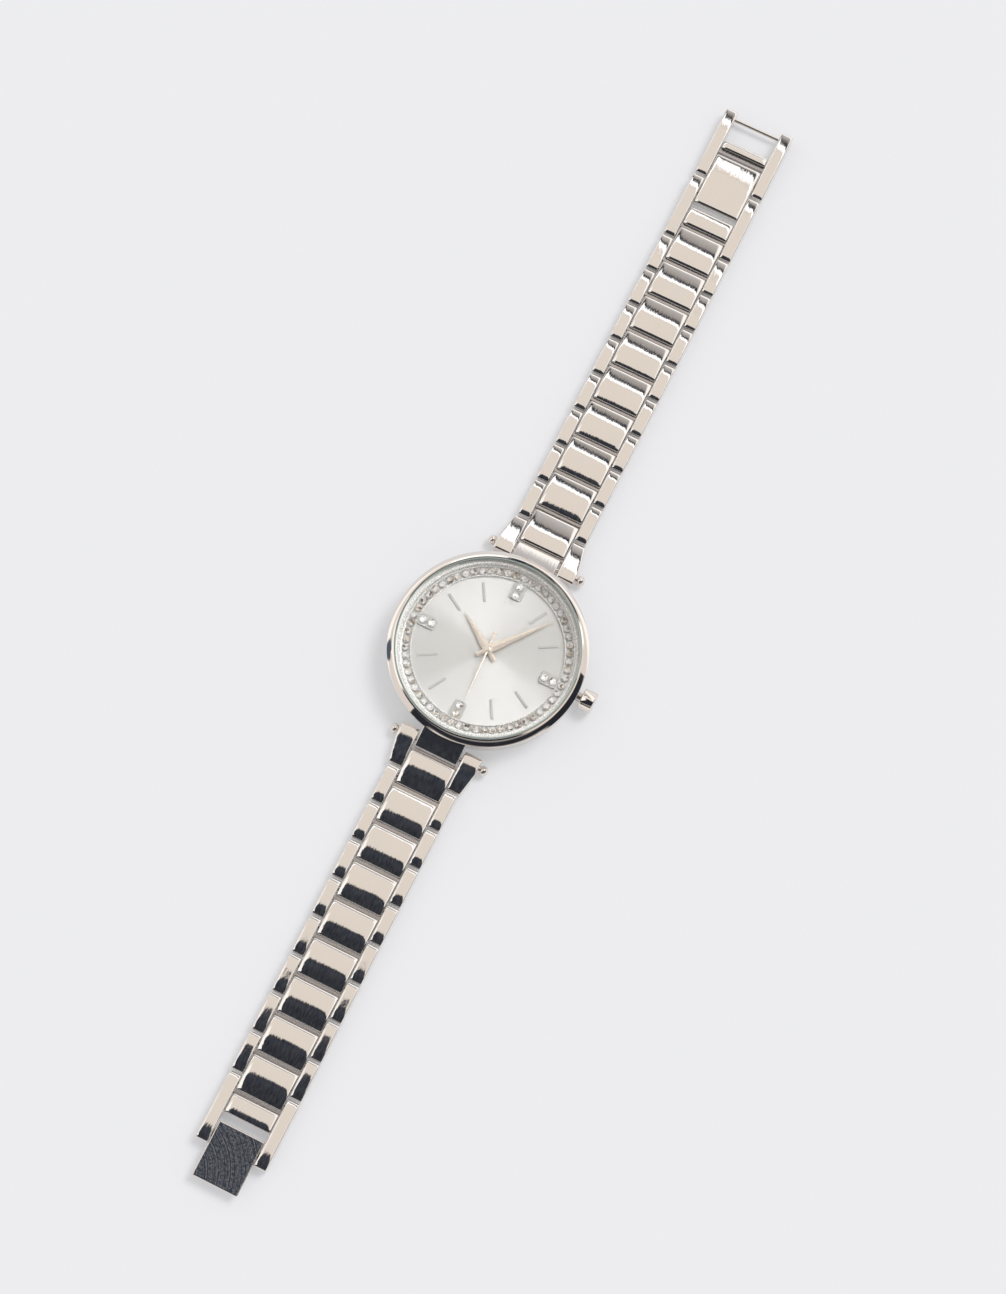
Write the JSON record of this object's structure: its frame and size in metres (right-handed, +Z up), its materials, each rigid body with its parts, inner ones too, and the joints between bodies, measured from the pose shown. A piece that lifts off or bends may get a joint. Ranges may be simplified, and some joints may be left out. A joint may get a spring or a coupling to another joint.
{
  "type": "bracelet watch",
  "caption": "Slim round-cased bracelet watch with a stone-set dial ring, three hands, pull-out crown, hinged metal link bracelet and hook clasp, lying open and flat.",
  "frame": {"origin": "centre of the case back's flat face, which lies on the table", "axes": "+Z up out of the dial, +Y towards 12 o'clock along the open bracelet, +X towards the crown at 3 o'clock"},
  "size_m": [0.0369, 0.2068, 0.0063],
  "materials": {
    "polished_steel": "mirror polished steel",
    "pin_steel": "polished steel pin",
    "brushed_steel": "fine circular brushing",
    "crystal_glass": "clear polished",
    "stone_glass": "clear cut",
    "dial_silver": "sunray brushed silver lacquer",
    "ring_silver": "satin silver",
    "hand_steel": "polished",
    "brass": "satin",
    "cell_steel": "satin",
    "copper_wire": "enamelled winding",
    "soft_iron": "plain",
    "plastic": "moulded",
    "board": "coated board",
    "gasket_rubber": "moulded",
    "gasket_plastic": "moulded"
  },
  "bodies": {
    "case": {"case_middle": "polished_steel", "crown_tube": "polished_steel", "bezel": "polished_steel", "crystal": "crystal_glass", "crystal_gasket": "gasket_plastic", "case_back": "polished_steel", "case_back_gasket": "gasket_rubber", "dial": "dial_silver", "stone_ring": "ring_silver", "ring_stones": "stone_glass", "index_plates": "ring_silver", "index_stones": "stone_glass", "hour_markers": "ring_silver", "movement_plate": "brass", "movement_holder": "plastic", "train_bridge": "brass", "battery": "cell_steel", "coil": "copper_wire", "coil_core": "soft_iron", "circuit_board": "board", "quartz_can": "brass"},
    "crown_slide": {"setting_lever": "pin_steel"},
    "crown": {"crown": "polished_steel", "crown_gasket": "gasket_rubber", "stem": "pin_steel"},
    "hour_hand": {"hour_hand": "hand_steel", "hour_wheel": "brass"},
    "minute_hand": {"minute_hand": "hand_steel", "cannon_pinion": "brass"},
    "second_hand": {"second_hand": "hand_steel", "seconds_wheel": "brass"},
    "upper_end_link": {"upper_end_link": "polished_steel", "upper_lug_bar": "pin_steel"},
    "lower_end_link": {"lower_end_link": "polished_steel", "lower_lug_bar": "pin_steel"},
    "upper_link_1": {"upper_link_1": "polished_steel"},
    "upper_link_2": {"upper_link_2": "polished_steel"},
    "upper_link_3": {"upper_link_3": "polished_steel"},
    "upper_link_4": {"upper_link_4": "polished_steel"},
    "upper_link_5": {"upper_link_5": "polished_steel"},
    "upper_link_6": {"upper_link_6": "polished_steel"},
    "upper_link_7": {"upper_link_7": "polished_steel"},
    "upper_link_8": {"upper_link_8": "polished_steel"},
    "long_frame": {"long_frame": "polished_steel"},
    "plate_link": {"plate_link": "polished_steel", "plate_link_pins": "pin_steel"},
    "catch_frame": {"catch_frame": "polished_steel", "catch_bar": "pin_steel"},
    "lower_link_1": {"lower_link_1": "polished_steel"},
    "lower_link_2": {"lower_link_2": "polished_steel"},
    "lower_link_3": {"lower_link_3": "polished_steel"},
    "lower_link_4": {"lower_link_4": "polished_steel"},
    "lower_link_5": {"lower_link_5": "polished_steel"},
    "lower_link_6": {"lower_link_6": "polished_steel"},
    "lower_link_7": {"lower_link_7": "polished_steel"},
    "lower_link_8": {"lower_link_8": "polished_steel"},
    "clasp_frame": {"clasp_frame": "polished_steel", "clasp_pivot_pin": "pin_steel"},
    "clasp_plate": {"clasp_plate": "brushed_steel"}
  },
  "joints": [
    {"name": "minute_hand_turn", "type": "hinge", "parent": "case", "child": "minute_hand", "pos_m": [0, 0, 0.0042], "axis": [0, 0, -1], "continuous": true},
    {"name": "hour_hand_turn", "type": "hinge", "parent": "case", "child": "hour_hand", "pos_m": [0, 0, 0.0042], "axis": [0, 0, -1], "continuous": true},
    {"name": "second_hand_turn", "type": "hinge", "parent": "case", "child": "second_hand", "pos_m": [0, 0, 0.0042], "axis": [0, 0, -1], "continuous": true},
    {"name": "crown_pull", "type": "slide", "parent": "case", "child": "crown_slide", "axis": [1, 0, 0], "range_m": [0, 0.0009]},
    {"name": "crown_turn", "type": "hinge", "parent": "crown_slide", "child": "crown", "pos_m": [0.0187, 0, 0.00225], "axis": [1, 0, 0], "continuous": true},
    {"name": "upper_lug_hinge", "type": "hinge", "parent": "case", "child": "upper_end_link", "pos_m": [0, 0.0184, 0.0013], "axis": [1, 0, 0], "range_deg": [-40, 8]},
    {"name": "lower_lug_hinge", "type": "hinge", "parent": "case", "child": "lower_end_link", "pos_m": [0, -0.0184, 0.0013], "axis": [1, 0, 0], "range_deg": [-8, 40]},
    {"name": "upper_hinge_1", "type": "hinge", "parent": "upper_end_link", "child": "upper_link_1", "pos_m": [0, 0.0254, 0.00125], "axis": [1, 0, 0], "range_deg": [-22, 6]},
    {"name": "upper_hinge_2", "type": "hinge", "parent": "upper_link_1", "child": "upper_link_2", "pos_m": [0, 0.03255, 0.00125], "axis": [1, 0, 0], "range_deg": [-22, 6]},
    {"name": "upper_hinge_3", "type": "hinge", "parent": "upper_link_2", "child": "upper_link_3", "pos_m": [0, 0.0397, 0.00125], "axis": [1, 0, 0], "range_deg": [-22, 6]},
    {"name": "upper_hinge_4", "type": "hinge", "parent": "upper_link_3", "child": "upper_link_4", "pos_m": [0, 0.04685, 0.00125], "axis": [1, 0, 0], "range_deg": [-22, 6]},
    {"name": "upper_hinge_5", "type": "hinge", "parent": "upper_link_4", "child": "upper_link_5", "pos_m": [0, 0.054, 0.00125], "axis": [1, 0, 0], "range_deg": [-22, 6]},
    {"name": "upper_hinge_6", "type": "hinge", "parent": "upper_link_5", "child": "upper_link_6", "pos_m": [0, 0.06115, 0.00125], "axis": [1, 0, 0], "range_deg": [-22, 6]},
    {"name": "upper_hinge_7", "type": "hinge", "parent": "upper_link_6", "child": "upper_link_7", "pos_m": [0, 0.0683, 0.00125], "axis": [1, 0, 0], "range_deg": [-22, 6]},
    {"name": "upper_hinge_8", "type": "hinge", "parent": "upper_link_7", "child": "upper_link_8", "pos_m": [0, 0.07545, 0.00125], "axis": [1, 0, 0], "range_deg": [-22, 6]},
    {"name": "upper_hinge_9", "type": "hinge", "parent": "upper_link_8", "child": "long_frame", "pos_m": [0, 0.0826, 0.00125], "axis": [1, 0, 0], "range_deg": [-22, 6]},
    {"name": "plate_hinge_inner", "type": "hinge", "parent": "long_frame", "child": "plate_link", "pos_m": [0, 0.0913, 0.00125], "axis": [1, 0, 0], "range_deg": [-22, 6]},
    {"name": "plate_hinge_outer", "type": "hinge", "parent": "plate_link", "child": "catch_frame", "pos_m": [0, 0.09675, 0.00125], "axis": [1, 0, 0], "range_deg": [-22, 6]},
    {"name": "lower_hinge_1", "type": "hinge", "parent": "lower_end_link", "child": "lower_link_1", "pos_m": [0, -0.0254, 0.00125], "axis": [1, 0, 0], "range_deg": [-6, 22]},
    {"name": "lower_hinge_2", "type": "hinge", "parent": "lower_link_1", "child": "lower_link_2", "pos_m": [0, -0.03255, 0.00125], "axis": [1, 0, 0], "range_deg": [-6, 22]},
    {"name": "lower_hinge_3", "type": "hinge", "parent": "lower_link_2", "child": "lower_link_3", "pos_m": [0, -0.0397, 0.00125], "axis": [1, 0, 0], "range_deg": [-6, 22]},
    {"name": "lower_hinge_4", "type": "hinge", "parent": "lower_link_3", "child": "lower_link_4", "pos_m": [0, -0.04685, 0.00125], "axis": [1, 0, 0], "range_deg": [-6, 22]},
    {"name": "lower_hinge_5", "type": "hinge", "parent": "lower_link_4", "child": "lower_link_5", "pos_m": [0, -0.054, 0.00125], "axis": [1, 0, 0], "range_deg": [-6, 22]},
    {"name": "lower_hinge_6", "type": "hinge", "parent": "lower_link_5", "child": "lower_link_6", "pos_m": [0, -0.06115, 0.00125], "axis": [1, 0, 0], "range_deg": [-6, 22]},
    {"name": "lower_hinge_7", "type": "hinge", "parent": "lower_link_6", "child": "lower_link_7", "pos_m": [0, -0.0683, 0.00125], "axis": [1, 0, 0], "range_deg": [-6, 22]},
    {"name": "lower_hinge_8", "type": "hinge", "parent": "lower_link_7", "child": "lower_link_8", "pos_m": [0, -0.07545, 0.00125], "axis": [1, 0, 0], "range_deg": [-6, 22]},
    {"name": "lower_hinge_9", "type": "hinge", "parent": "lower_link_8", "child": "clasp_frame", "pos_m": [0, -0.0826, 0.00125], "axis": [1, 0, 0], "range_deg": [-6, 22]},
    {"name": "clasp_pivot", "type": "hinge", "parent": "clasp_frame", "child": "clasp_plate", "pos_m": [0, -0.0918, 0.00125], "axis": [1, 0, 0], "range_deg": [-80, 0]}
  ],
  "couplings": [
    {"joint": "hour_hand_turn", "follows": "minute_hand_turn", "ratio": 0.083333},
    {"joint": "second_hand_turn", "follows": "minute_hand_turn", "ratio": 60}
  ]
}
